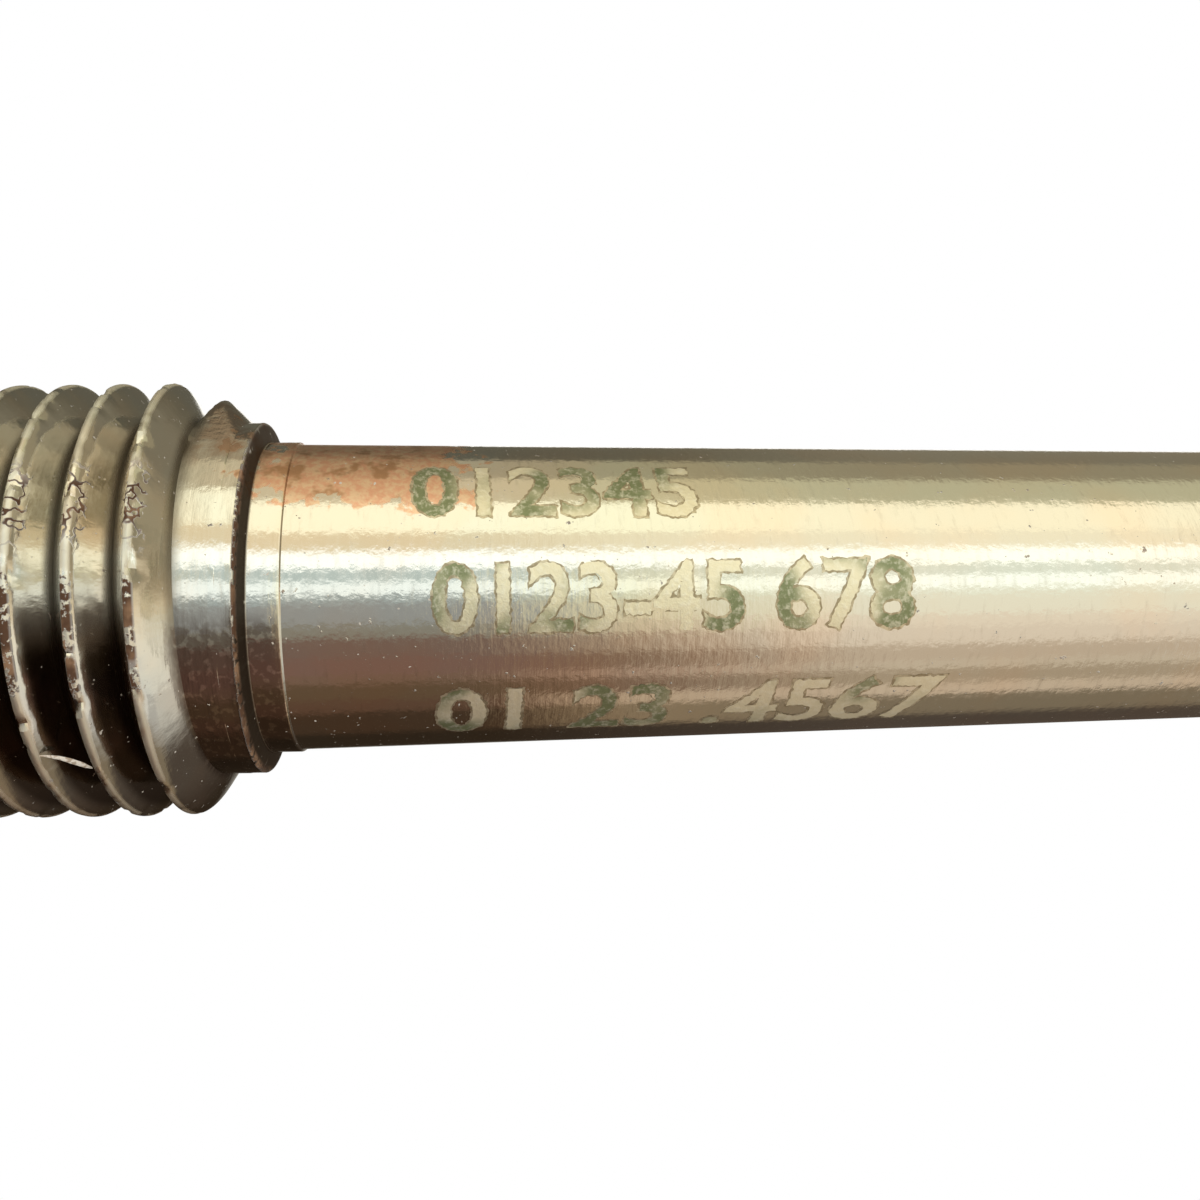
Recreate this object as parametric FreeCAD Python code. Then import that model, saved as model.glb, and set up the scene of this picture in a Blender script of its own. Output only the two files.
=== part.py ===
# A thread plug gauge member: one turned, hardened and ground piece of steel.
# It has a threaded gauging head, a narrow land and a shoulder behind the thread,
# a short collar, and a plain tapered shank that a handle grips.
#
# Frame: millimetres, +Z along the axis from the entering end to the small end of the shank.
# The origin is the centre of the entering face, so the member stands on that face.
# The marked side of the shank faces -Y.

import FreeCAD, Part
import math
import os

from FreeCAD import Vector

# ---- Thread: 60 degree form, right hand, 7/16 inch by 20 turns per inch ----
major_dia = 11.1125
pitch = 1.27
crest_flat = pitch / 8
flank_angle = 30.0
# How far below the shoulder the last full crest passes the -X side
last_crest_below_shoulder = 2.21

# ---- Gauging head ----
head_length = 19.05
entering_chamfer = 0.95
land_dia = 9.08
land_length = 0.39

# ---- Blunt thread end: the last, incomplete turn fades out and is ground off ----
blunt_clearance = 0.015
blunt_angle = 210.0
blunt_turns = 1.0

# ---- Shoulder, collar and taper shank ----
shoulder_run = 0.17
collar_dia = 8.06
collar_length = 0.91
shank_dia = 7.9375
shank_length = 28.575
taper_ratio = 1 / 24
shank_chamfer = 0.5

# ---- Centre holes for grinding between centres ----
front_centre_dia = 3.2
rear_centre_dia = 2.6
centre_half_angle = 30.0
pilot_dia = 1.25
pilot_depth = 1.4

cut_margin = 0.08


def revolve(points):
    """Solid of revolution about Z from (radius, height) points."""
    outline = [Vector(r, 0, z) for r, z in points]
    face = Part.Face(Part.makePolygon(outline + outline[:1]))
    return face.revolve(Vector(0, 0, 0), Vector(0, 0, 1), 360)


def flank_run(depth):
    """Axial distance that a thread flank covers over a radial depth."""
    return depth * math.tan(math.radians(flank_angle))


def crest_z(angle):
    """Height of the last full crest at an angle about Z, in degrees from +X."""
    return head_length - last_crest_below_shoulder + pitch * (angle - 180) / 360


major_r = major_dia / 2
land_r = land_dia / 2
collar_r = collar_dia / 2
shank_r = shank_dia / 2
shank_z = head_length + collar_length
total_length = shank_z + shank_length
# The ground flanks meet in a sharp root
thread_depth = (pitch - crest_flat) / 2 / math.tan(math.radians(flank_angle))
root_r = major_r - thread_depth
# The rear chamfer runs at 45 degrees from the crests to the land
land_z = head_length - land_length
rear_chamfer = major_r - land_r
blunt_floor_r = land_r + blunt_clearance


def blank():
    """The turned and ground blank, before its thread is cut."""
    chamfer_z = total_length - shank_chamfer
    chamfer_r = shank_r - (shank_length - shank_chamfer) * taper_ratio / 2
    return revolve([
        (0, 0),
        (major_r - entering_chamfer, 0),
        (major_r, entering_chamfer),
        (major_r, land_z - rear_chamfer),
        (land_r, land_z),
        (land_r, head_length),
        (collar_r, head_length + shoulder_run),
        (collar_r, shank_z),
        (shank_r, shank_z),
        (chamfer_r, chamfer_z),
        (chamfer_r - shank_chamfer, total_length),
        (0, total_length),
    ])


def centre_hole(dia, face_z, inward):
    """Tool for a centre hole: a 60 degree countersink and its pilot."""
    slope = math.tan(math.radians(centre_half_angle))
    cone = (dia - pilot_dia) / 2 / slope
    return revolve([
        (0, face_z - inward * cut_margin),
        (dia / 2 + cut_margin * slope, face_z - inward * cut_margin),
        (pilot_dia / 2, face_z + inward * cone),
        (pilot_dia / 2, face_z + inward * (cone + pilot_depth)),
        (0, face_z + inward * (cone + pilot_depth + pilot_dia / 4)),
    ])


def helical_tool(points, start_z, turns, start_angle):
    """Sweeps a closed (radius, height) profile up a right-hand helix about Z."""
    helix = Part.makeLongHelix(pitch, turns * pitch, land_r, 0, False)
    corners = [Vector(r, 0, z) for r, z in points]
    profile = Part.makePolygon(corners + corners[:1])
    tool = Part.Wire(helix).makePipeShell([profile], True, True)
    tool.rotate(Vector(0, 0, 0), Vector(0, 0, 1), start_angle)
    tool.translate(Vector(0, 0, start_z))
    return tool


def thread_groove():
    """Tool for the whole V groove, from below the entering face to past the shoulder."""
    outer_r = major_r + cut_margin
    half_mouth = flank_run(outer_r - root_r)
    groove_z = crest_z(0) + pitch / 2
    turns_below = math.ceil((groove_z + pitch) / pitch)
    turns_above = math.ceil((head_length + pitch - groove_z) / pitch)
    profile = [
        (root_r, 0),
        (outer_r, -half_mouth),
        (outer_r, half_mouth),
    ]
    return helical_tool(profile, groove_z - turns_below * pitch, turns_below + turns_above, 0)


def blunt_groove():
    """Tool that takes the incomplete turn down to just above the land."""
    outer_r = major_r + 2 * cut_margin
    half_width = pitch / 2 - blunt_clearance
    profile = [
        (blunt_floor_r, -half_width),
        (outer_r, -half_width),
        (outer_r, half_width),
        (blunt_floor_r, half_width),
    ]
    return helical_tool(profile, crest_z(blunt_angle) + pitch, blunt_turns, blunt_angle)


def blunt_ramp():
    """Block whose inner face is the flat that lets the ridge fade out into the blunt groove."""
    ridge_z = crest_z(blunt_angle) + pitch
    low_z = ridge_z - pitch / 2
    block = Part.makeBox(major_r, 2 * major_r, head_length - low_z)
    block.translate(Vector(blunt_floor_r, -major_r, low_z))
    block.rotate(Vector(0, 0, 0), Vector(0, 0, 1), blunt_angle)
    return block


def gauge_member():
    """The finished member."""
    body = blank()
    body = body.cut(centre_hole(front_centre_dia, 0, 1))
    body = body.cut(centre_hole(rear_centre_dia, total_length, -1))
    body = body.cut(thread_groove())
    body = body.cut(blunt_groove())
    body = body.cut(blunt_ramp())
    return body


os.makedirs("parts", exist_ok=True)
member = gauge_member()
member.exportStep("parts/gauge_member.step")
print("solids", len(member.Solids), "valid", member.isValid(), "volume", round(member.Volume, 2))
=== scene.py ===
import math

import bmesh
import bpy
from mathutils import Euler, Matrix, Vector, noise


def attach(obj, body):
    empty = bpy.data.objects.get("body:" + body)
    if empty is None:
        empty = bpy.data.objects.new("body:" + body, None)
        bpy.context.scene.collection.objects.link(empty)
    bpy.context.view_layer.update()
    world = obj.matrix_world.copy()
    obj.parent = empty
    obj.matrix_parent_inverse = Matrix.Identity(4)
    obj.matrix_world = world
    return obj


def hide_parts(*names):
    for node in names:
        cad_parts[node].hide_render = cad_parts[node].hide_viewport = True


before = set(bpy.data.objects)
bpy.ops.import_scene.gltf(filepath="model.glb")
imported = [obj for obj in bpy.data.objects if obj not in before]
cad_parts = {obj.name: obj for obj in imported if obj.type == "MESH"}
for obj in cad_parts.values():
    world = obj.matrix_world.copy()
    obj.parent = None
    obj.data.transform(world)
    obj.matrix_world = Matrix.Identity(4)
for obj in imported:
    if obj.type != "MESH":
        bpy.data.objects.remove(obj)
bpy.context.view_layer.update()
print("frame loaded")

mm = 0.001


def smoothStep(low, high, value):
    t = min(max((value - low) / (high - low), 0.0), 1.0)
    return t * t * (3 - 2 * t)


def near(angle, centre, halfWidth):
    # 1 at the centre angle, falling to 0 at halfWidth from it, in degrees
    gap = abs((angle - centre + 180) % 360 - 180)
    return 1 - smoothStep(0.0, halfWidth, gap)


def addObject(name, data):
    thing = bpy.data.objects.new(name, data)
    bpy.context.collection.objects.link(thing)
    return thing


def meshFrom(name, shape):
    data = bpy.data.meshes.new(name)
    shape.to_mesh(data)
    shape.free()
    return data


def newMaterial(name):
    material = bpy.data.materials.new(name)
    material.use_nodes = True
    material.node_tree.nodes.clear()
    return material, material.node_tree


def feed(tree, socket, value):
    # Puts a number or a colour on a socket, or links another socket to it
    if isinstance(value, bpy.types.NodeSocket):
        tree.links.new(value, socket)
    else:
        socket.default_value = value


def mathNode(tree, operation, first, *others):
    # Runs one operation over two or more values, from left to right
    for value in others:
        node = tree.nodes.new("ShaderNodeMath")
        node.operation = operation
        feed(tree, node.inputs[0], first)
        feed(tree, node.inputs[1], value)
        first = node.outputs[0]
    return first


def times(tree, *values):
    return mathNode(tree, "MULTIPLY", *values)


def mixColour(tree, factor, first, second):
    node = tree.nodes.new("ShaderNodeMix")
    node.data_type = "RGBA"
    feed(tree, node.inputs[0], factor)
    feed(tree, node.inputs[6], first)
    feed(tree, node.inputs[7], second)
    return node.outputs[2]


def mixValue(tree, factor, first, second):
    node = tree.nodes.new("ShaderNodeMix")
    feed(tree, node.inputs[0], factor)
    feed(tree, node.inputs[2], first)
    feed(tree, node.inputs[3], second)
    return node.outputs[0]


def noiseNode(tree, vector, scale, detail, roughness=0.5):
    node = tree.nodes.new("ShaderNodeTexNoise")
    node.inputs["Scale"].default_value = scale
    node.inputs["Detail"].default_value = detail
    node.inputs["Roughness"].default_value = roughness
    tree.links.new(vector, node.inputs["Vector"])
    return node.outputs["Fac"]


def between(tree, value, low, high):
    # 0 below low and 1 above high, smooth between, or the other way round if low is more than high
    node = tree.nodes.new("ShaderNodeMapRange")
    node.interpolation_type = "SMOOTHSTEP"
    turned = low > high
    node.inputs["From Min"].default_value = min(low, high)
    node.inputs["From Max"].default_value = max(low, high)
    node.inputs["To Min"].default_value = 1.0 if turned else 0.0
    node.inputs["To Max"].default_value = 0.0 if turned else 1.0
    tree.links.new(value, node.inputs["Value"])
    return node.outputs["Result"]


def band(tree, value, low, high, soft):
    # 1 from low to high, fading over soft on both sides
    return times(tree, between(tree, value, low - soft, low + soft),
                 between(tree, value, high + soft, high - soft))


def bumpNode(tree, height, distance, normal=None):
    node = tree.nodes.new("ShaderNodeBump")
    node.inputs["Strength"].default_value = 1.0
    node.inputs["Distance"].default_value = distance
    tree.links.new(height, node.inputs["Height"])
    if normal is not None:
        tree.links.new(normal, node.inputs["Normal"])
    return node.outputs["Normal"]


def mixShaders(tree, factor, first, second):
    node = tree.nodes.new("ShaderNodeMixShader")
    for socket, source in zip(node.inputs, (factor, first, second)):
        tree.links.new(source, socket)
    return node.outputs[0]


def addOutput(tree, surface, kind="ShaderNodeOutputMaterial"):
    output = tree.nodes.new(kind)
    tree.links.new(surface, output.inputs[0])


def addSurface(tree, colour, roughness, metallic, normal=None):
    shader = tree.nodes.new("ShaderNodeBsdfPrincipled")
    feed(tree, shader.inputs["Base Color"], colour)
    feed(tree, shader.inputs["Roughness"], roughness)
    feed(tree, shader.inputs["Metallic"], metallic)
    if normal is not None:
        tree.links.new(normal, shader.inputs["Normal"])
    addOutput(tree, shader.outputs[0])
    return shader


def millimetrePlace(tree):
    scaled = tree.nodes.new("ShaderNodeVectorMath")
    scaled.operation = "SCALE"
    scaled.inputs["Scale"].default_value = 1 / mm
    tree.links.new(tree.nodes.new("ShaderNodeTexCoord").outputs["Object"], scaled.inputs[0])
    return scaled.outputs[0]


# Millimetres and degrees, z up from the entering face. The marked side is at 270 degrees.
member = {
    "majorRadius": 5.55625,
    "pitch": 1.27,
    "crestWidth": 0.15875,
    "headLength": 19.05,
    "lastCrest": 16.84,         # where the last full crest passes the -X side
    "enteringChamfer": 0.95,
    "landRadius": 4.54,
    "landLength": 0.39,
    "bluntFloor": 4.548,        # the incomplete turn is ground off down to this radius
    "bluntAngle": 210.0,
    "bluntReach": 0.3,          # cosine at which the flat ends, round from bluntAngle
    "bluntRounding": 0.22,
    "shoulderRun": 0.17,
    "collarRadius": 4.03,
    "collarLength": 0.91,
    "shankRadius": 3.96875,
    "shankLength": 28.575,
    "taper": 1 / 24,
    "shankChamfer": 0.5,
    "frontCentre": 1.6,
    "rearCentre": 1.3,
    "pilotRadius": 0.625,
    "pilotDepth": 1.4,
    # How finely it is drawn. The thread's rows of points lie at these distances from a crest's middle.
    "threadRows": (0.045, 0.0794, 0.095, 0.16, 0.26, 0.36, 0.46, 0.56),
    "turnsUp": 3,               # turns of rows from the last full crest up, cut off at the land
    "segments": 216,
    "shankRings": 30,
    # Worn edges
    "crestRounding": 0.006,
    "crestSoftness": 0.03,
    "wornFrom": 0.03,           # each crest's edge towards the shank is worn from here on
    "wornRounding": 0.04,
    "bumpRounding": 0.55,       # where the last turn drops to the land
    "bumpFades": (0.55, 0.3),   # distances from the land over which that rounding ends
    "footShadowLine": 0.02,
    "stepShadowLine": 0.03,
    "stepDrop": 0.012,
    "endShadowLine": 0.02,
    "sharpAngle": 22.0,
    # Small bites out of the crests, mostly on the marked side
    "nickDepth": 0.11,
    "nickNoise": (0.22, 0.55),
    "nickFades": (0.1, 0.3),    # distances from a crest's middle
    "nickSide": (258, 80),      # middle and half width
    "nickElsewhere": 0.3,
    # The shoulder's ragged rim. Its rows: radius from the land's, height from the head's end, share of burr
    "burrHeight": 0.06,
    "burrSide": (275, 85),
    "rimRows": ((0, -0.16, 0), (0, -0.07, 0.3), (0, -0.015, 1), (-0.02, 0.015, 1), (-0.12, 0.045, 0)),
}

flankSlope = 1 / math.tan(math.radians(30))
centreSlope = math.tan(math.radians(30))
shankStart = member["headLength"] + member["collarLength"]
topEnd = shankStart + member["shankLength"]
landStart = member["headLength"] - member["landLength"]
rearChamferStart = landStart - (member["majorRadius"] - member["landRadius"])
angles = [360 * j / member["segments"] for j in range(member["segments"])]
weld = 2e-8                     # metres within which points are joined


def shankRadiusAt(z):
    return member["shankRadius"] - (z - shankStart) * member["taper"] / 2


def crestHeight(angle):
    return member["lastCrest"] + member["pitch"] * (angle - 180) / 360


def roundedMin(first, second, width):
    # The lower of two heights, with the corner between them rounded
    overlap = max(width - abs(first - second), 0.0) / width
    return min(first, second) - overlap * overlap * width / 4


def nicks(angle, z, phase):
    spot = noise.noise(Vector((angle * 0.21, z * 2.3, 7.0)))
    share = member["nickElsewhere"] + (1 - member["nickElsewhere"]) * near(angle, *member["nickSide"])
    amount = smoothStep(*member["nickNoise"], spot) * share
    return member["nickDepth"] * amount * (1 - smoothStep(*member["nickFades"], phase))


def burr(angle):
    ragged = noise.noise(Vector((angle * 0.33, 3.0, 1.0)))
    ragged += 0.6 * noise.noise(Vector((angle * 0.9, 8.0, 2.0)))
    return member["burrHeight"] * max(0.0, ragged) * near(angle, *member["burrSide"])


def headRadius(angle, z):
    major = member["majorRadius"]
    fromCrest = z - crestHeight(angle)
    turn = round(fromCrest / member["pitch"])
    side = fromCrest - turn * member["pitch"]
    overCrest = abs(side) - member["crestWidth"] / 2
    radius = major - max(0.0, overCrest) * flankSlope
    radius -= member["crestRounding"] * (1 - smoothStep(0.0, member["crestSoftness"], abs(overCrest)))
    if side > 0:
        radius = roundedMin(radius, major - (side - member["wornFrom"]), member["wornRounding"])
    radius -= nicks(angle, z, abs(side))
    radius = min(radius, major - member["enteringChamfer"] + z)
    fadeStart, fadeEnd = (landStart - distance for distance in member["bumpFades"])
    rounding = member["bumpRounding"] * (1 - smoothStep(fadeStart, fadeEnd, z)) + 0.001
    rear = max(member["landRadius"], major - (z - rearChamferStart))
    radius = roundedMin(radius, rear, rounding)
    # The incomplete turn fades out along a flat and is then ground off
    lean = math.cos(math.radians(angle - member["bluntAngle"]))
    afterBlunt = z > crestHeight(member["bluntAngle"]) + member["pitch"] / 2
    if afterBlunt and lean > member["bluntReach"]:
        radius = roundedMin(radius, member["bluntFloor"] / lean, member["bluntRounding"])
    if turn > 1 or (turn == 1 and angle >= member["bluntAngle"]):
        radius = min(radius, member["bluntFloor"])
    return radius


def addPoint(mesh, radius, angle, z):
    turn = math.radians(angle)
    return mesh.verts.new((radius * math.cos(turn) * mm, radius * math.sin(turn) * mm, z * mm))


def ring(mesh, radius, z, ragged=0):
    return [addPoint(mesh, radius + ragged * burr(angle), angle, z) for angle in angles]


def join(mesh, lower, upper):
    for j in range(len(lower)):
        n = (j + 1) % len(lower)
        mesh.faces.new((lower[j], lower[n], upper[n], upper[j]))


def cap(mesh, points, z):
    tip = mesh.verts.new((0, 0, z * mm))
    for first, second in zip(points, points[1:] + points[:1]):
        mesh.faces.new((first, second, tip))


def addThread(mesh):
    # Each column of points steps up the thread, so that rows run along the crests
    rows = [0.0] + [side * row for row in member["threadRows"] for side in (-1, 1)]
    rows = sorted(rows) + [member["pitch"] / 2]
    turnsDown = math.ceil(crestHeight(360) / member["pitch"]) + 1
    columns = []
    for angle in angles:
        column = []
        for turn in range(-turnsDown, member["turnsUp"]):
            for row in rows:
                z = crestHeight(angle) + turn * member["pitch"] + row
                z = min(max(z, 0.0), landStart)
                column.append(addPoint(mesh, headRadius(angle, z), angle, z))
        columns.append(column)
    # The last column meets the first one, a turn further up the thread
    columns.append(columns[0][len(rows):])
    for left, right in zip(columns, columns[1:]):
        for k in range(len(right) - 1):
            if left[k].co.z == left[k + 1].co.z and right[k].co.z == right[k + 1].co.z:
                continue
            mesh.faces.new((left[k], right[k], right[k + 1], left[k + 1]))
    bmesh.ops.remove_doubles(mesh, verts=mesh.verts, dist=weld)
    bmesh.ops.dissolve_degenerate(mesh, edges=mesh.edges, dist=weld / 20)


def rearStations():
    # Radius, height and share of the burr for each ring from the land to the foot of the rear centre hole
    head = member["headLength"]
    shoulderEnd = head + member["shoulderRun"]
    collar = member["collarRadius"]
    foot = member["footShadowLine"]
    step = member["stepShadowLine"]
    edge = member["endShadowLine"]
    chamfer = member["shankChamfer"]
    chamferZ = topEnd - chamfer
    small = shankRadiusAt(chamferZ)
    pilot = member["pilotRadius"]
    cone = topEnd - (member["rearCentre"] - pilot) / centreSlope
    stations = [(member["landRadius"] + out, head + up, share) for out, up, share in member["rimRows"]]
    stations += [(collar + foot, shoulderEnd - foot), (collar, shoulderEnd + foot),
                 (collar, shankStart - step), (collar - member["stepDrop"], shankStart),
                 (member["shankRadius"], shankStart + step)]
    for number in range(1, member["shankRings"] + 1):
        z = shankStart + step + (chamferZ - shankStart - step) * number / member["shankRings"]
        stations.append((shankRadiusAt(z), z))
    stations += [(small - edge, chamferZ + edge / 2), (small - chamfer + edge, topEnd - edge / 2),
                 (small - chamfer, topEnd), (member["rearCentre"], topEnd),
                 (pilot, cone), (pilot, cone - member["pilotDepth"])]
    return stations


def makeMember():
    mesh = bmesh.new()
    addThread(mesh)
    points = ring(mesh, member["landRadius"], landStart)
    stations = rearStations()
    for station in stations:
        upper = ring(mesh, *station)
        join(mesh, points, upper)
        points = upper
    pilot = member["pilotRadius"]
    cap(mesh, points, stations[-1][1] - pilot / 2)

    cone = (member["frontCentre"] - pilot) / centreSlope
    points = [addPoint(mesh, headRadius(angle, 0.0), angle, 0.0) for angle in angles]
    for radius, z in ((member["frontCentre"], 0.0), (pilot, cone), (pilot, cone + member["pilotDepth"])):
        deeper = ring(mesh, radius, z)
        join(mesh, deeper, points)
        points = deeper
    cap(mesh, points, cone + member["pilotDepth"] + pilot / 2)

    bmesh.ops.remove_doubles(mesh, verts=mesh.verts, dist=weld)
    bmesh.ops.recalc_face_normals(mesh, faces=mesh.faces)
    for face in mesh.faces:
        face.smooth = True
    limit = math.radians(member["sharpAngle"])
    for edge in mesh.edges:
        if len(edge.link_faces) == 2 and edge.calc_face_angle(0.0) > limit:
            edge.smooth = False
    return addObject("steelMember", meshFrom("steelMember", mesh))


steel = {
    "colour": (0.80, 0.80, 0.76, 1),
    "tint": (0.83, 0.78, 0.71, 1),
    "streaked": (0.45, 0.41, 0.36, 1),
    "rust": (0.085, 0.038, 0.016, 1),
    "rustPale": (0.24, 0.135, 0.07, 1),
    "copper": (0.86, 0.47, 0.33, 1),
    "copperPale": (0.92, 0.66, 0.48, 1),
    "copperDark": (0.55, 0.30, 0.17, 1),
    "haze": (0.56, 0.40, 0.31, 1),
    # Pale specks painted to stand for glints
    "glintPale": (0.62, 0.56, 0.47, 1),
    # Painted shade on the shoulder
    "shoulderShade": (0.05, 0.035, 0.025, 1),
    # Painted shade in the roots of the thread
    "deep": (0.085, 0.065, 0.045, 1),
    # Painted shade on the lower side behind the thread and on the collar
    "lowerShade": (0.34, 0.29, 0.26, 1),
    # Painted shade in the grooves on the lower side
    "grooveShade": (0.10, 0.065, 0.04, 1),
    "anisotropy": 0.35,
    # Metres
    "grindBump": 1.6e-6,
    "streakBump": 3.5e-6,
    "grainBump": 6.5e-6,
    "pitBump": 1.2e-5,
    # Roughness of the ground steel from smooth to streaked, and of what lies on it
    "groundRough": (0.09, 0.17),
    "stainRough": 0.36,
    "rustRough": 0.7,
    "rootShadeRough": 0.3,
    "wornRough": 0.5,
    # Grinding marks that run round the piece: stretch round it, start and scale
    "lines": {"fine": (0.12, 0.0, 22.0), "streak": (0.9, 4.0, 7.0), "grain": (3.8, 9.0, 5.0)},
    # Noise all over the piece: scale, detail and roughness
    "noises": {"cloud": (0.45, 3.0), "speck": (5.5, 3.0, 0.6), "spot": (1.4, 3.0, 0.6),
               "curl": (2.6, 2.0, 0.4), "glintSpot": (6.5, 1.0)},
    # Noise from none to full
    "tintNoise": (0.4, 0.65),
    "streakNoise": (0.55, 0.8),
    "roughNoise": (0.35, 0.75),
    "stainNoise": (0.55, 0.78),
    "paleNoise": (0.36, 0.64),
    "darkNoise": (0.52, 0.66),
    "hazeNoise": (0.34, 0.56),
    "lowerShadeNoise": (0.66, 0.42),
    "crestNoise": (0.40, 0.48),
    "brownNoise": (0.46, 0.62),
    "rimNoise": (0.38, 0.5),
    "freckleNoise": (0.69, 0.76),
    "cornerNoise": (0.22, 0.36),
    "glintNoise": (0.765, 0.79),
    "wornNoise": (0.3, 0.5),
    # How strongly each colours the steel
    "streakAmount": 0.22,
    "stainAmount": 0.92,
    "hazeAmount": 0.75,
    "rootShadeAmount": 0.7,
    "grooveShadeAmount": 0.82,
    "cornerAmount": 0.95,
    "freckleAmount": 0.7,
    # From none to full, in millimetres. Turns are heights at which the thread passes the marked side.
    "headHeights": (18.0, 17.6),
    "rootShadeRadii": (4.86, 4.62),
    "grooveShadeRadii": (5.42, 5.16),
    "grooveShadeTurns": (16.8, 16.6),
    "lowerShadeTurns": (17.7, 17.82),
    "lowerShadeHeights": (19.96, 19.90),
    "crestRadii": (5.46, 5.52),
    "curlRadii": (5.2, 5.3),
    # Low end, high end and softness. Angles are in radians from the marked side towards +X.
    "stainHeights": (19.0, 24.3, 0.9),
    "stainAngles": (-1.7, -0.62, 0.1),
    "hazeHeights": (17.75, 19.3, 0.2),
    "hazeAngles": (-2.4, -0.88, 0.12),
    "grooveShadeAngles": (0.04, 2.2, 0.16),
    "lowerShadeAngles": (0.06, 1.9, 0.1),
    "brownAngles": (-0.22, 0.32, 0.1),
    "curlAngles": (-0.62, -0.32, 0.08),
    "curlLines": (0.503, 0.556, 0.012),
    "rimHeights": (19.02, 19.10, 0.02),
    "rimAngles": (-0.9, 1.3, 0.3),
    "cornerHeights": (19.06, 19.23, 0.03),
    "glintHeights": (14.0, 26.0, 2.0),
    "stainSway": (5.0, 0.7),    # how far the stain's edges wander, up in millimetres and round in radians
}


def cylinderCoordinates(tree):
    # Height and radius in millimetres, angle from the marked side in radians
    place = millimetrePlace(tree)
    split = tree.nodes.new("ShaderNodeSeparateXYZ")
    tree.links.new(place, split.inputs[0])
    x, y, height = split.outputs
    angle = mathNode(tree, "ARCTAN2", x, times(tree, y, -1.0))
    squares = mathNode(tree, "ADD", times(tree, x, x), times(tree, y, y))
    radius = mathNode(tree, "POWER", squares, 0.5)
    return {"place": place, "height": height, "angle": angle, "radius": radius}


def memberSockets(tree):
    # All that the masks below are made from
    at = cylinderCoordinates(tree)
    lead = times(tree, at["angle"], member["pitch"] / math.tau)
    at["along"] = mathNode(tree, "SUBTRACT", at["height"], lead)
    at["head"] = between(tree, at["height"], *steel["headHeights"])
    at["crest"] = times(tree, between(tree, at["radius"], *steel["crestRadii"]), at["head"])
    for name, (stretch, start, scale) in steel["lines"].items():
        line = tree.nodes.new("ShaderNodeCombineXYZ")
        for socket, value in zip(line.inputs, (at["height"], times(tree, at["angle"], stretch), start)):
            feed(tree, socket, value)
        at[name] = noiseNode(tree, line.outputs[0], scale, 3.0)
    for name, settings in steel["noises"].items():
        at[name] = noiseNode(tree, at["place"], *settings)
    return at


def stainMask(tree, at):
    # Stain on the upper side of the shank next to the collar
    swayed = mathNode(tree, "SUBTRACT", at["spot"], 0.5)
    swayUp, swayRound = steel["stainSway"]
    upwards = mathNode(tree, "ADD", at["height"], times(tree, swayed, swayUp))
    sideways = mathNode(tree, "ADD", at["angle"], times(tree, swayed, swayRound))
    blotch = mathNode(tree, "ADD", at["spot"], times(tree, at["speck"], 0.5), 0.27)
    patch = times(tree, band(tree, upwards, *steel["stainHeights"]),
                  band(tree, sideways, *steel["stainAngles"]), blotch)
    return between(tree, patch, *steel["stainNoise"])


def hazeMask(tree, at):
    # Brown haze on the upper side of the head's rear end
    return times(tree, band(tree, at["height"], *steel["hazeHeights"]),
                 band(tree, at["angle"], *steel["hazeAngles"]),
                 between(tree, at["spot"], *steel["hazeNoise"]))


def grooveShadeMask(tree, at):
    # Painted shade: the grooves on the lower side darkened
    lowSide = times(tree, between(tree, at["along"], *steel["grooveShadeTurns"]),
                    band(tree, at["angle"], *steel["grooveShadeAngles"]))
    return times(tree, between(tree, at["radius"], *steel["grooveShadeRadii"]), lowSide, at["head"])


def lowerShadeMask(tree, at):
    # Painted shade: the lower side of the ground-off part behind the thread and of the collar darkened,
    # mottled
    behind = times(tree, between(tree, at["along"], *steel["lowerShadeTurns"]),
                   between(tree, at["height"], *steel["lowerShadeHeights"]))
    mottled = mathNode(tree, "ADD", between(tree, at["grain"], *steel["lowerShadeNoise"]), 0.45)
    filmed = times(tree, behind, band(tree, at["angle"], *steel["lowerShadeAngles"]), mottled)
    return mathNode(tree, "MINIMUM", filmed, 0.9)


def rustMask(tree, at):
    # Rust along the crests, on the shoulder's rim, in freckles and in curls on the upper flanks
    brown = band(tree, at["angle"], *steel["brownAngles"])
    brown = mathNode(tree, "MAXIMUM", brown, times(tree, at["spot"], 0.85))
    brown = between(tree, times(tree, at["speck"], brown), *steel["crestNoise"])
    rim = times(tree, band(tree, at["height"], *steel["rimHeights"]),
                band(tree, at["angle"], *steel["rimAngles"]),
                between(tree, at["speck"], *steel["rimNoise"]))
    freckles = times(tree, between(tree, at["speck"], *steel["freckleNoise"]), steel["freckleAmount"])
    curls = times(tree, between(tree, at["radius"], *steel["curlRadii"]),
                  band(tree, at["angle"], *steel["curlAngles"]), at["head"],
                  band(tree, at["curl"], *steel["curlLines"]))
    return mathNode(tree, "MAXIMUM", times(tree, at["crest"], brown), rim, freckles, curls)


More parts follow.
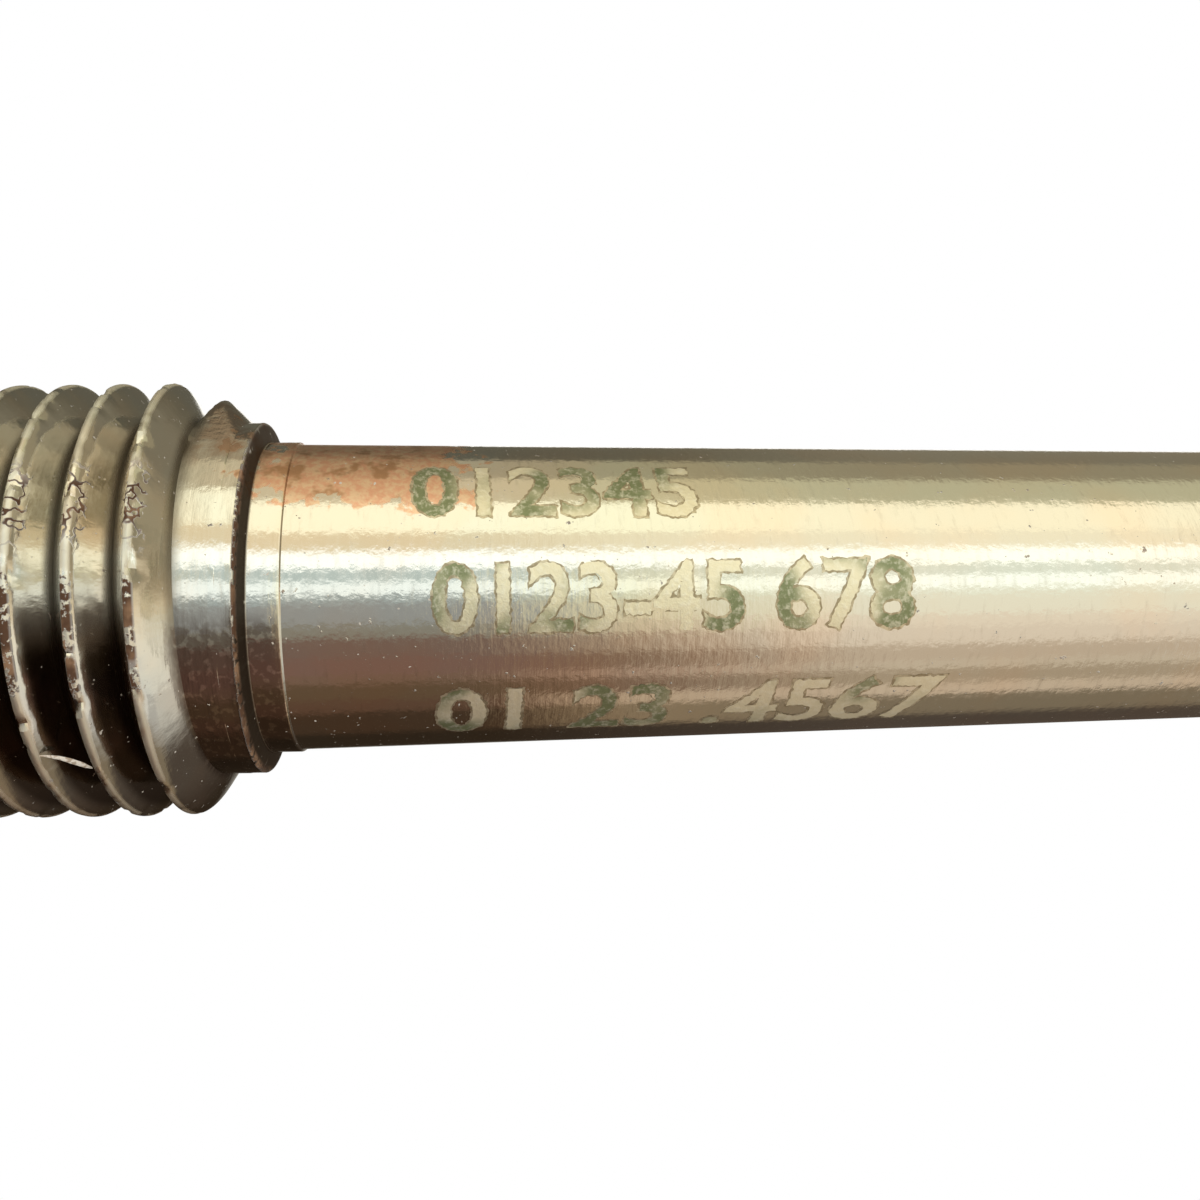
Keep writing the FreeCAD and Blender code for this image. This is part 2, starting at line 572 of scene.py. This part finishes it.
def groundSteel():
    material, tree = newMaterial("groundSteel")
    at = memberSockets(tree)
    stain = stainMask(tree, at)
    rust = rustMask(tree, at)
    # Painted shade: the roots of the thread's grooves darkened
    deep = times(tree, between(tree, at["radius"], *steel["rootShadeRadii"]), at["head"])
    # Painted shade: the shoulder between the land and the collar darkened in blotches
    corner = times(tree, band(tree, at["height"], *steel["cornerHeights"]),
                   between(tree, at["spot"], *steel["cornerNoise"]))
    # Painted glints: scattered pale, less metallic specks along the head and shank that stand for glints
    paintedGlints = times(tree, band(tree, at["height"], *steel["glintHeights"]),
                   between(tree, at["glintSpot"], *steel["glintNoise"]))
    unrusted = mathNode(tree, "SUBTRACT", 1.0, rust)
    worn = times(tree, at["crest"], between(tree, at["spot"], *steel["wornNoise"]), unrusted)

    streaks = between(tree, at["streak"], *steel["streakNoise"])
    pale = between(tree, at["speck"], *steel["paleNoise"])
    dark = between(tree, at["spot"], *steel["darkNoise"])
    copper = mixColour(tree, pale, steel["copper"], steel["copperPale"])
    copper = mixColour(tree, dark, copper, steel["copperDark"])
    faded = between(tree, at["spot"], *steel["brownNoise"])
    brown = mixColour(tree, faded, steel["rust"], steel["rustPale"])
    tinted = between(tree, at["cloud"], *steel["tintNoise"])
    colour = mixColour(tree, tinted, steel["colour"], steel["tint"])
    for amount, tone in (
        (times(tree, streaks, steel["streakAmount"]), steel["streaked"]),
        (times(tree, stain, steel["stainAmount"]), copper),
        (times(tree, hazeMask(tree, at), steel["hazeAmount"]), steel["haze"]),
        (times(tree, deep, steel["rootShadeAmount"]), steel["deep"]),
        (times(tree, grooveShadeMask(tree, at), steel["grooveShadeAmount"]), steel["grooveShade"]),
        (lowerShadeMask(tree, at), steel["lowerShade"]),
        (times(tree, corner, steel["cornerAmount"]), steel["shoulderShade"]),
        (rust, brown),
        (paintedGlints, steel["glintPale"]),
    ):
        colour = mixColour(tree, amount, colour, tone)

    roughness = mixValue(tree, between(tree, at["streak"], *steel["roughNoise"]), *steel["groundRough"])
    for amount, rough in (
        (times(tree, stain, 0.7), steel["stainRough"]),
        (mathNode(tree, "MAXIMUM", rust, corner), steel["rustRough"]),
        (deep, steel["rootShadeRough"]),
        (worn, steel["wornRough"]),
    ):
        roughness = mixValue(tree, amount, roughness, rough)

    normal = bumpNode(tree, at["fine"], steel["grindBump"])
    normal = bumpNode(tree, at["streak"], steel["streakBump"], normal)
    normal = bumpNode(tree, at["grain"], steel["grainBump"], normal)
    normal = bumpNode(tree, rust, steel["pitBump"], normal)

    dull = mathNode(tree, "MAXIMUM", times(tree, rust, 0.85), times(tree, paintedGlints, 0.7))
    shader = addSurface(tree, colour, roughness, mathNode(tree, "SUBTRACT", 1.0, dull), normal)
    shader.inputs["Anisotropic"].default_value = steel["anisotropy"]
    tangent = tree.nodes.new("ShaderNodeTangent")
    tangent.direction_type = "RADIAL"
    tangent.axis = "Z"
    tree.links.new(tangent.outputs[0], shader.inputs["Tangent"])
    return material


steelMember = makeMember()
steelMember.data.materials.append(groundSteel())
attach(steelMember, "root")
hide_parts("gauge_member")
print("steel member made", len(steelMember.data.polygons), "faces")


chip = {
    # A sliver of swarf caught in the thread: height, radius, angle towards +X and half width
    "path": ((14.84, 5.50, 32.6, 0.015), (15.00, 5.48, 33.1, 0.040), (15.20, 5.42, 34.4, 0.070),
             (15.40, 5.36, 36.4, 0.105), (15.60, 5.31, 38.6, 0.105), (15.74, 5.28, 40.3, 0.020)),
    "thickness": 0.02,
    "colour": (0.86, 0.80, 0.70, 1),
    "shade": (0.50, 0.40, 0.30, 1),
    "grain": 9.0,
    "roughness": 0.45,
    "metallic": 0.3,
}


def makeChip():
    shape = bmesh.new()
    rings = []
    for z, radius, degrees, half in chip["path"]:
        turn = math.radians(degrees)
        outward = Vector((math.sin(turn), -math.cos(turn), 0))
        across = Vector((math.cos(turn), math.sin(turn), 0))
        middle = outward * radius + Vector((0, 0, z))
        side = across * half
        front = outward * chip["thickness"]
        rings.append([shape.verts.new((middle + corner) * mm) for corner in (side, front, -side, -front)])
    for first, second in zip(rings, rings[1:]):
        join(shape, first, second)
    shape.faces.new(rings[0])
    shape.faces.new(rings[-1])
    bmesh.ops.recalc_face_normals(shape, faces=shape.faces)
    return addObject("swarfChip", meshFrom("swarfChip", shape))


def chipSteel():
    material, tree = newMaterial("chipSteel")
    grain = noiseNode(tree, millimetrePlace(tree), chip["grain"], 2.0)
    colour = mixColour(tree, between(tree, grain, 0.45, 0.62), chip["colour"], chip["shade"])
    addSurface(tree, colour, chip["roughness"], chip["metallic"])
    return material


swarfChip = makeChip()
swarfChip.data.materials.append(chipSteel())
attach(swarfChip, "root")
print("chip made")


# Plain running digits. A row is placed by heights along the shank and by its angle from the marked side
# towards -X.
marks = {
    "rows": (
        {"name": "marksUpper", "text": "012345", "start": 22.9, "end": 29.5, "angle": 44.0},
        {"name": "marksMiddle", "text": "0123-45 678", "start": 23.35, "end": 34.2, "angle": 3.5},
        {"name": "marksLower", "text": "01 23 .4567", "start": 23.4, "end": 35.2, "angle": -41.0},
    ),
    "height": 1.62,
    "stroke": 0.015,
    "rim": 0.022,           # how far the darker edge, a painted shadow line, stands out round each digit
    "lift": 0.005,          # above the shank
    "shadowLineLift": 0.0025,
    "curveSteps": 4,
    "spacing": 0.05,        # between the points of an outline
    "wander": 0.0528,       # how far each point is shaken
    "slice": 0.16,          # width of the strips that bend round the shank
    "pale": (0.86, 0.80, 0.60, 1),
    "olive": (0.24, 0.27, 0.15, 1),
    "bright": (0.95, 0.92, 0.78, 1),
    "shadowLineDark": (0.36, 0.30, 0.20, 1),
    "shadowLinePale": (0.62, 0.55, 0.40, 1),
    "roughness": 0.42,
    "shadowLineRoughness": 0.3,
    "metallic": 0.8,
    "bump": 1.5e-5,
}


def shapeFrom(curve):
    # The filled face of a text or an outline
    holder = addObject(curve.name, curve)
    bpy.context.view_layer.update()
    flat = bpy.data.meshes.new_from_object(holder.evaluated_get(bpy.context.evaluated_depsgraph_get()))
    bpy.data.objects.remove(holder)
    shape = bmesh.new()
    shape.from_mesh(flat)
    bmesh.ops.remove_doubles(shape, verts=shape.verts, dist=1e-6)
    return shape


def outlineOf(text, stroke):
    # The digits' outlines as closed loops of points in the plane
    curve = bpy.data.curves.new("digits", "FONT")
    curve.body = text
    curve.size = 1.0
    curve.offset = stroke
    curve.resolution_u = marks["curveSteps"]
    shape = shapeFrom(curve)
    border = [edge for edge in shape.edges if len(edge.link_faces) == 1]
    waiting = set(border)
    loops = []
    for start in border:
        if start not in waiting:
            continue
        loop = []
        line = start
        point = start.verts[0]
        while line:
            waiting.discard(line)
            loop.append(point.co.copy())
            point = line.other_vert(point)
            onward = [other for other in point.link_edges if other in waiting]
            line = onward[0] if onward and point != start.verts[0] else None
        loops.append(loop)
    shape.free()
    return loops


def roughen(loop, seed):
    # Walks the loop in short steps and shakes each point, as a laser's strokes leave the edge
    points = []
    for first, second in zip(loop, loop[1:] + loop[:1]):
        run = second - first
        parts = max(1, round(run.length / marks["spacing"]))
        for k in range(parts):
            p = first + run * (k / parts)
            shake = [noise.noise(Vector((p.x * 9, p.y * 9, level))) for level in (seed, seed + 5)]
            points.append(p + Vector((*shake, 0)) * marks["wander"])
    return points


def flatDigits(row, seed, extra):
    # Every layer of a row is scaled by the row's plain outline, so that the layers stay in step
    plain = [p for loop in outlineOf(row["text"], marks["stroke"]) for p in loop]
    lowX = min(p.x for p in plain)
    lowY = min(p.y for p in plain)
    highY = max(p.y for p in plain)
    wide = (row["end"] - row["start"]) / (max(p.x for p in plain) - lowX)
    tall = marks["height"] / (highY - lowY)
    curve = bpy.data.curves.new("outline", "CURVE")
    curve.dimensions = "2D"
    curve.fill_mode = "BOTH"
    for loop in outlineOf(row["text"], marks["stroke"] + extra):
        scaled = [Vector(((p.x - lowX) * wide, (p.y - (lowY + highY) / 2) * tall, 0)) for p in loop]
        points = roughen(scaled, seed)
        spline = curve.splines.new("POLY")
        spline.points.add(len(points) - 1)
        for target, p in zip(spline.points, points):
            target.co = (p.x, p.y, 0, 1)
        spline.use_cyclic_u = True
    return shapeFrom(curve)


def makeMarks(row, seed, name, extra, lift):
    shape = flatDigits(row, seed, extra)
    y = -marks["height"]
    while y < marks["height"]:
        bmesh.ops.bisect_plane(shape, geom=shape.verts[:] + shape.edges[:] + shape.faces[:], dist=1e-6,
                               plane_co=(0, y, 0), plane_no=(0, 1, 0))
        y += marks["slice"]
    for vert in shape.verts:
        z = row["start"] + vert.co.x
        r = shankRadiusAt(z) + lift
        turn = math.radians(row["angle"]) + vert.co.y / r
        vert.co = Vector((-math.sin(turn) * r, -math.cos(turn) * r, z)) * mm
    for face in shape.faces:
        face.smooth = True
        centre = face.calc_center_median()
        if face.normal.dot(Vector((centre.x, centre.y, 0))) < 0:
            face.normal_flip()
    return addObject(name, meshFrom(name, shape))


def etchedSteel():
    material, tree = newMaterial("etchedSteel")
    place = millimetrePlace(tree)
    patch = noiseNode(tree, place, 0.42, 2.0)
    grain = noiseNode(tree, place, 7.0, 3.0, 0.65)
    colour = mixColour(tree, between(tree, patch, 0.44, 0.60), marks["pale"], marks["olive"])
    colour = mixColour(tree, times(tree, between(tree, grain, 0.45, 0.7), 0.5), colour, marks["bright"])
    addSurface(tree, colour, marks["roughness"], marks["metallic"], bumpNode(tree, grain, marks["bump"]))
    return material


# A painted shadow line round each digit, darker than the digits
def etchedShadowLine():
    material, tree = newMaterial("etchedShadowLine")
    grain = noiseNode(tree, millimetrePlace(tree), 6.0, 3.0, 0.6)
    colour = mixColour(tree, between(tree, grain, 0.42, 0.62), marks["shadowLineDark"], marks["shadowLinePale"])
    addSurface(tree, colour, marks["shadowLineRoughness"], marks["metallic"], bumpNode(tree, grain, marks["bump"]))
    return material


etched = etchedSteel()
edge = etchedShadowLine()
for number, row in enumerate(marks["rows"]):
    for ending, extra, lift, coat in (
        ("", 0.0, marks["lift"], etched),
        ("ShadowLine", marks["rim"], marks["shadowLineLift"], edge),
    ):
        piece = makeMarks(row, 3.0 + number, row["name"] + ending, extra, lift)
        piece.data.materials.append(coat)
        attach(piece, "root")
print("numbers made")


# A round tent of coloured panels stands about the gauge and shows only in its reflections. Angles are from
# the camera's side towards -X, in degrees. Each panel has a colour for each level in the studio dictionary.
panels = (
    {"name": "shadeBack", "from": 165, "to": 125, "deep": (0.10, 0.08, 0.05), "low": (0.12, 0.11, 0.08),
     "middle": (0.14, 0.12, 0.08), "high": (0.22, 0.19, 0.13), "top": (0.36, 0.30, 0.19)},
    {"name": "shadeUpper", "from": 125, "to": 100, "deep": (0.12, 0.10, 0.06), "low": (0.42, 0.36, 0.24),
     "middle": (0.40, 0.36, 0.22), "high": (0.32, 0.27, 0.17), "top": (0.36, 0.30, 0.19)},
    {"name": "greyUpper", "from": 100, "to": 75, "deep": (0.13, 0.11, 0.06), "low": (0.70, 0.60, 0.40),
     "middle": (0.68, 0.60, 0.36), "high": (0.57, 0.52, 0.33), "top": (0.40, 0.34, 0.22)},
    {"name": "creamPanel", "from": 75, "to": 50, "deep": (0.35, 0.29, 0.17), "low": (1.28, 1.22, 0.90),
     "middle": (1.26, 1.20, 0.84), "high": (1.24, 1.11, 0.78), "top": (0.50, 0.40, 0.26)},
    {"name": "creamLower", "from": 50, "to": 38, "deep": (0.85, 0.68, 0.42), "low": (0.90, 0.76, 0.50),
     "middle": (1.02, 0.90, 0.62), "high": (1.10, 0.98, 0.70), "top": (0.60, 0.50, 0.33)},
    {"name": "whiteUpper", "from": 34, "to": 24.5, "deep": (1.40, 1.30, 1.00), "low": (1.40, 1.42, 1.32),
     "middle": (1.40, 1.40, 1.25), "high": (1.40, 1.40, 1.22), "top": (0.70, 0.60, 0.42)},
    {"name": "greyGap", "from": 22.5, "to": 16, "deep": (0.70, 0.62, 0.42), "low": (0.56, 0.64, 0.60),
     "middle": (0.78, 0.76, 0.55), "high": (0.88, 0.90, 0.74), "top": (0.80, 0.72, 0.50)},
    {"name": "whiteLower", "from": 13.5, "to": 6.5, "deep": (1.15, 1.12, 0.98), "low": (1.16, 1.22, 1.15),
     "middle": (1.20, 1.20, 0.92), "high": (1.32, 1.34, 1.18), "top": (0.90, 0.82, 0.60)},
    {"name": "paleFront", "from": 4, "to": 0, "deep": (0.30, 0.27, 0.22), "low": (0.40, 0.44, 0.42),
     "middle": (0.82, 0.80, 0.56), "high": (0.98, 0.97, 0.77), "top": (0.90, 0.84, 0.66)},
    {"name": "greyFront", "from": -1, "to": -15, "deep": (0.13, 0.11, 0.09), "low": (0.34, 0.34, 0.32),
     "middle": (0.78, 0.70, 0.46), "high": (0.97, 0.90, 0.70), "top": (0.90, 0.84, 0.66)},
    {"name": "tanFront", "from": -16, "to": -24, "deep": (0.15, 0.12, 0.09), "low": (0.27, 0.25, 0.20),
     "middle": (0.66, 0.56, 0.38), "high": (0.92, 0.78, 0.60), "top": (0.86, 0.80, 0.66)},
    {"name": "pinkFront", "from": -26, "to": -38, "deep": (0.05, 0.035, 0.02), "low": (0.20, 0.13, 0.10),
     "middle": (0.42, 0.30, 0.20), "high": (0.84, 0.70, 0.54), "top": (0.84, 0.78, 0.66)},
    {"name": "roseFront", "from": -41, "to": -53, "deep": (0.03, 0.02, 0.015), "low": (0.21, 0.12, 0.09),
     "middle": (0.26, 0.16, 0.10), "high": (0.60, 0.47, 0.34), "top": (0.80, 0.76, 0.66)},
    {"name": "roseLower", "from": -54, "to": -60, "deep": (0.02, 0.013, 0.01), "low": (0.20, 0.12, 0.08),
     "middle": (0.44, 0.29, 0.20), "high": (0.64, 0.52, 0.38), "top": (0.78, 0.74, 0.65)},
    {"name": "brownLower", "from": -62, "to": -74, "deep": (0.02, 0.013, 0.01), "low": (0.13, 0.08, 0.045),
     "middle": (0.23, 0.14, 0.09), "high": (0.44, 0.34, 0.23), "top": (0.76, 0.72, 0.63)},
    {"name": "pinkStrip", "from": -77, "to": -86, "deep": (0.02, 0.013, 0.01), "low": (0.12, 0.065, 0.04),
     "middle": (0.54, 0.39, 0.26), "high": (0.63, 0.49, 0.35), "top": (0.74, 0.70, 0.62)},
    {"name": "darkLower", "from": -90, "to": -112, "deep": (0.02, 0.013, 0.01), "low": (0.06, 0.035, 0.02),
     "middle": (0.28, 0.20, 0.12), "high": (0.22, 0.17, 0.11), "top": (0.50, 0.47, 0.42)},
    {"name": "darkBack", "from": -120, "to": -152, "deep": (0.02, 0.013, 0.01), "low": (0.03, 0.02, 0.012),
     "middle": (0.05, 0.035, 0.025), "high": (0.08, 0.06, 0.045), "top": (0.62, 0.58, 0.50)},
    {"name": "greyBack", "from": -163, "to": -185, "deep": (0.50, 0.47, 0.42), "low": (0.46, 0.43, 0.37),
     "middle": (0.10, 0.08, 0.06), "high": (0.16, 0.13, 0.10), "top": (0.80, 0.70, 0.50)},
    {"name": "whiteBack", "from": -188, "to": -194, "deep": (1.20, 1.17, 1.08), "low": (1.35, 1.32, 1.24),
     "middle": (1.35, 1.32, 1.24), "high": (1.35, 1.32, 1.24), "top": (0.50, 0.42, 0.28)},
)

# Metres. The levels are heights up the tent's wall, and the roof's stops run from -X to +X.
studio = {
    "tentRadius": 0.15,
    "tentBottom": -0.32,
    "tentTop": 0.34,
    "tentStep": 4,              # degrees between the wall's columns of points
    "levels": ((-0.32, "deep"), (-0.07, "deep"), (-0.01, "low"), (0.034, "low"), (0.062, "middle"),
               (0.105, "high"), (0.17, "high"), (0.25, "top"), (0.34, "top")),
    "roof": ((-0.15, (0.28, 0.24, 0.16)), (-0.10, (0.32, 0.27, 0.17)), (-0.06, (0.44, 0.35, 0.22)),
             (-0.01, (0.82, 0.68, 0.46)), (0.05, (0.92, 0.86, 0.70)), (0.15, (0.72, 0.70, 0.62))),
    "ground": (0.05, 0.04, 0.03),
    "floorSize": 0.6,
    "floorColour": (0.86, 0.85, 0.83, 1),
    "floorGrain": (0.7, 0.7, 0.7, 1),
    "whiteFrom": 0.016,         # the camera sees the floor turn white from here
    "whiteTo": 0.024,
    "sky": (1, 0.99, 0.97, 1),
    "skyStrength": 0.95,
    "lampAim": (0, 0, 0.02),
    "lamps": (
        {"name": "softKey", "place": (-0.11, -0.10, 0.14), "size": 0.12, "power": 0.07},
        {"name": "softFill", "place": (0.10, -0.06, 0.10), "size": 0.12, "power": 0.025},
    ),
}


def glowMaterial():
    material, tree = newMaterial("tentPaper")
    tint = tree.nodes.new("ShaderNodeVertexColor")
    tint.layer_name = "glow"
    light = tree.nodes.new("ShaderNodeEmission")
    tree.links.new(tint.outputs["Color"], light.inputs["Color"])
    addOutput(tree, light.outputs[0])
    material.cycles.emission_sampling = "NONE"
    return material


def addCard(name, shape, colours, paper):
    data = meshFrom(name, shape)
    layer = data.color_attributes.new("glow", "FLOAT_COLOR", "POINT")
    for slot, colour in zip(layer.data, colours):
        slot.color = (*colour, 1)
    data.materials.append(paper)
    card = addObject(name, data)
    card.visible_camera = False
    card.visible_diffuse = False
    card.visible_shadow = False
    card.visible_transmission = False


def square(half, z):
    shape = bmesh.new()
    corners = ((-half, -half), (half, -half), (half, half), (-half, half))
    shape.faces.new([shape.verts.new((x, y, z)) for x, y in corners])
    return shape


def makeWall(paper):
    radius = studio["tentRadius"]
    stops = [(angle, panel) for panel in panels for angle in (panel["from"], panel["to"])]
    stops.append((panels[0]["from"] - 360, panels[0]))
    shape = bmesh.new()
    colours = []
    for (angle, panel), (nextAngle, nextPanel) in zip(stops, stops[1:]):
        parts = max(1, math.ceil((angle - nextAngle) / studio["tentStep"]))
        previous = None
        for part in range(parts + 1):
            share = part / parts
            turn = math.radians(angle + (nextAngle - angle) * share)
            x = -math.sin(turn) * radius
            y = -math.cos(turn) * radius
            column = []
            for height, key in studio["levels"]:
                column.append(shape.verts.new((x, y, height)))
                colours.append(Vector(panel[key]).lerp(Vector(nextPanel[key]), share))
            if previous:
                for k in range(len(column) - 1):
                    shape.faces.new((previous[k], column[k], column[k + 1], previous[k + 1]))
            previous = column
    addCard("tentWall", shape, colours, paper)


def makeRoof(paper):
    radius = studio["tentRadius"]
    shape = bmesh.new()
    colours = []
    previous = None
    for x, colour in studio["roof"]:
        pair = [shape.verts.new((x, y, studio["tentTop"])) for y in (-radius, radius)]
        colours += [colour, colour]
        if previous:
            shape.faces.new((previous[0], pair[0], pair[1], previous[1]))
        previous = pair
    addCard("tentRoof", shape, colours, paper)


def makeTent():
    paper = glowMaterial()
    makeWall(paper)
    makeRoof(paper)
    addCard("tentGround", square(studio["tentRadius"], studio["tentBottom"]), [studio["ground"]] * 4, paper)


def paleFloor():
    material, tree = newMaterial("paleFloor")
    place = tree.nodes.new("ShaderNodeTexCoord").outputs["Object"]
    length = tree.nodes.new("ShaderNodeVectorMath")
    length.operation = "LENGTH"
    tree.links.new(place, length.inputs[0])
    far = between(tree, length.outputs["Value"], studio["whiteFrom"], studio["whiteTo"])
    paper = tree.nodes.new("ShaderNodeBsdfDiffuse")
    grain = noiseNode(tree, place, 900.0, 3.0)
    tone = mixColour(tree, times(tree, grain, 0.06), studio["floorColour"], studio["floorGrain"])
    tree.links.new(tone, paper.inputs["Color"])
    white = tree.nodes.new("ShaderNodeEmission")
    path = tree.nodes.new("ShaderNodeLightPath")
    seen = times(tree, path.outputs["Is Camera Ray"], far)
    addOutput(tree, mixShaders(tree, seen, paper.outputs[0], white.outputs[0]))
    return material


def makeFloor():
    data = meshFrom("floor", square(studio["floorSize"] / 2, 0))
    data.materials.append(paleFloor())
    floor = addObject("floor", data)
    floor.visible_glossy = False


def background(tree, colour, strength):
    node = tree.nodes.new("ShaderNodeBackground")
    node.inputs["Color"].default_value = colour
    node.inputs["Strength"].default_value = strength
    return node.outputs[0]


def makeWorld():
    world = bpy.data.worlds.new("studioWorld")
    bpy.context.scene.world = world
    world.use_nodes = True
    tree = world.node_tree
    tree.nodes.clear()
    rays = tree.nodes.new("ShaderNodeLightPath").outputs
    seen = mathNode(tree, "MAXIMUM", rays["Is Camera Ray"], rays["Is Glossy Ray"],
                    rays["Is Transmission Ray"])
    soft = background(tree, studio["sky"], studio["skyStrength"])
    white = background(tree, (1, 1, 1, 1), 1.0)
    addOutput(tree, mixShaders(tree, seen, soft, white), "ShaderNodeOutputWorld")


def makeLamp(name, place, size, power):
    data = bpy.data.lights.new(name, "AREA")
    data.shape = "DISK"
    data.size = size
    data.energy = power
    lamp = addObject(name, data)
    lamp.location = place
    aim = Vector(studio["lampAim"]) - Vector(place)
    lamp.rotation_mode = "QUATERNION"
    lamp.rotation_quaternion = aim.to_track_quat("-Z", "Y")
    lamp.visible_glossy = False


makeTent()
makeFloor()
makeWorld()
for lamp in studio["lamps"]:
    makeLamp(**lamp)
print("studio made")


view = {
    "place": (-2.14, -24.21, 23.635),   # millimetres
    "lean": 0.62,                       # degrees by which the axis rises to the right
    "aim": (-3.17, -0.246, -0.146),     # degrees off square to the axis
    "sensor": 36.0,
    "lens": 27.55,
    "shiftX": 0.1267,
    "shiftY": -0.03,
    "nearest": 0.001,                   # metres between which the camera sees
    "farthest": 10.0,
}


def makeCamera():
    data = bpy.data.cameras.new("camera")
    data.sensor_width = view["sensor"]
    data.lens = view["lens"]
    data.shift_x = view["shiftX"]
    data.shift_y = view["shiftY"]
    data.clip_start = view["nearest"]
    data.clip_end = view["farthest"]
    camera = addObject("camera", data)
    lean = math.radians(view["lean"])
    right = Vector((math.sin(lean), 0, math.cos(lean)))
    up = Vector((-math.cos(lean), 0, math.sin(lean)))
    back = right.cross(up)
    aim = Euler([math.radians(angle) for angle in view["aim"]]).to_matrix()
    turn = Matrix((right, up, back)).transposed() @ aim
    camera.rotation_mode = "QUATERNION"
    camera.rotation_quaternion = turn.to_quaternion()
    camera.location = Vector(view["place"]) * mm
    bpy.context.scene.camera = camera


makeCamera()
bpy.context.scene.view_settings.view_transform = "Standard"
